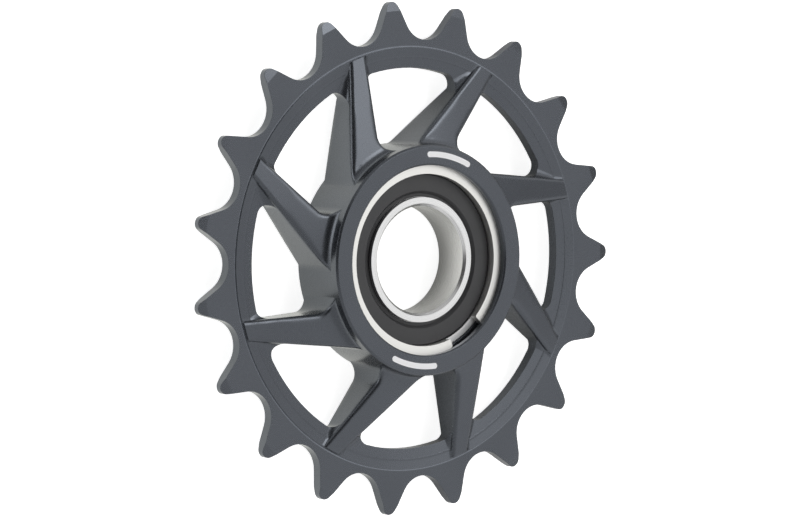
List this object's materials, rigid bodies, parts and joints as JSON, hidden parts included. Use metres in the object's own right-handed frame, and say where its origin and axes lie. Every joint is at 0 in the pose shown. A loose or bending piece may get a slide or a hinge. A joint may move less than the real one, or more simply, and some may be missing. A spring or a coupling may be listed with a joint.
{
  "type": "bicycle idler pulley",
  "caption": "Toothed idler wheel for a bicycle chain, with swept spokes, turning on a sealed ball bearing that a snap ring holds in its hub.",
  "frame": {"origin": "on the wheel's axis, in the middle plane of the teeth", "axes": "+Z along the axis, out of the face with the snap ring; +X through the tip of a tooth"},
  "size_m": [0.0809, 0.0812, 0.0105],
  "materials": {
    "anodised_aluminium": "satin, dark grey anodised",
    "clip_steel": "satin",
    "ring_steel": "ground",
    "ball_steel": "polished",
    "cage_steel": "pressed sheet",
    "seal_rubber": "matt",
    "insert_steel": "plain sheet"
  },
  "bodies": {
    "axle_side": {"bearing_inner_ring": "ring_steel"},
    "wheel": {"idler_wheel": "anodised_aluminium", "retaining_clip": "clip_steel", "bearing_outer_ring": "ring_steel", "front_seal": "seal_rubber", "rear_seal": "seal_rubber", "front_seal_insert": "insert_steel", "rear_seal_insert": "insert_steel"},
    "cage": {"cage_front_half": "cage_steel", "cage_rear_half": "cage_steel"},
    "ball_01_roller": {"ball_01": "ball_steel"},
    "ball_02_roller": {"ball_02": "ball_steel"},
    "ball_03_roller": {"ball_03": "ball_steel"},
    "ball_04_roller": {"ball_04": "ball_steel"},
    "ball_05_roller": {"ball_05": "ball_steel"},
    "ball_06_roller": {"ball_06": "ball_steel"},
    "ball_07_roller": {"ball_07": "ball_steel"},
    "ball_08_roller": {"ball_08": "ball_steel"},
    "ball_09_roller": {"ball_09": "ball_steel"},
    "ball_10_roller": {"ball_10": "ball_steel"},
    "ball_11_roller": {"ball_11": "ball_steel"}
  },
  "joints": [
    {"name": "wheel_turn", "type": "hinge", "parent": "axle_side", "child": "wheel", "pos_m": [0, 0, 0], "axis": [0, 0, 1], "continuous": true},
    {"name": "cage_turn", "type": "hinge", "parent": "axle_side", "child": "cage", "pos_m": [0, 0, 0], "axis": [0, 0, 1], "continuous": true},
    {"name": "ball_01_spin", "type": "hinge", "parent": "cage", "child": "ball_01_roller", "pos_m": [0.01175, 0, 0.0008], "axis": [0, 0, 1], "continuous": true},
    {"name": "ball_02_spin", "type": "hinge", "parent": "cage", "child": "ball_02_roller", "pos_m": [0.00988, 0.00635, 0.0008], "axis": [0, 0, 1], "continuous": true},
    {"name": "ball_03_spin", "type": "hinge", "parent": "cage", "child": "ball_03_roller", "pos_m": [0.00488, 0.01069, 0.0008], "axis": [0, 0, 1], "continuous": true},
    {"name": "ball_04_spin", "type": "hinge", "parent": "cage", "child": "ball_04_roller", "pos_m": [-0.00167, 0.01163, 0.0008], "axis": [0, 0, 1], "continuous": true},
    {"name": "ball_05_spin", "type": "hinge", "parent": "cage", "child": "ball_05_roller", "pos_m": [-0.00769, 0.00888, 0.0008], "axis": [0, 0, 1], "continuous": true},
    {"name": "ball_06_spin", "type": "hinge", "parent": "cage", "child": "ball_06_roller", "pos_m": [-0.01127, 0.00331, 0.0008], "axis": [0, 0, 1], "continuous": true},
    {"name": "ball_07_spin", "type": "hinge", "parent": "cage", "child": "ball_07_roller", "pos_m": [-0.01127, -0.00331, 0.0008], "axis": [0, 0, 1], "continuous": true},
    {"name": "ball_08_spin", "type": "hinge", "parent": "cage", "child": "ball_08_roller", "pos_m": [-0.00769, -0.00888, 0.0008], "axis": [0, 0, 1], "continuous": true},
    {"name": "ball_09_spin", "type": "hinge", "parent": "cage", "child": "ball_09_roller", "pos_m": [-0.00167, -0.01163, 0.0008], "axis": [0, 0, 1], "continuous": true},
    {"name": "ball_10_spin", "type": "hinge", "parent": "cage", "child": "ball_10_roller", "pos_m": [0.00488, -0.01069, 0.0008], "axis": [0, 0, 1], "continuous": true},
    {"name": "ball_11_spin", "type": "hinge", "parent": "cage", "child": "ball_11_roller", "pos_m": [0.00988, -0.00635, 0.0008], "axis": [0, 0, 1], "continuous": true}
  ],
  "couplings": [
    {"joint": "cage_turn", "follows": "wheel_turn", "ratio": 0.58445},
    {"joint": "ball_01_spin", "follows": "wheel_turn", "ratio": 2.876},
    {"joint": "ball_02_spin", "follows": "wheel_turn", "ratio": 2.876},
    {"joint": "ball_03_spin", "follows": "wheel_turn", "ratio": 2.876},
    {"joint": "ball_04_spin", "follows": "wheel_turn", "ratio": 2.876},
    {"joint": "ball_05_spin", "follows": "wheel_turn", "ratio": 2.876},
    {"joint": "ball_06_spin", "follows": "wheel_turn", "ratio": 2.876},
    {"joint": "ball_07_spin", "follows": "wheel_turn", "ratio": 2.876},
    {"joint": "ball_08_spin", "follows": "wheel_turn", "ratio": 2.876},
    {"joint": "ball_09_spin", "follows": "wheel_turn", "ratio": 2.876},
    {"joint": "ball_10_spin", "follows": "wheel_turn", "ratio": 2.876},
    {"joint": "ball_11_spin", "follows": "wheel_turn", "ratio": 2.876}
  ]
}
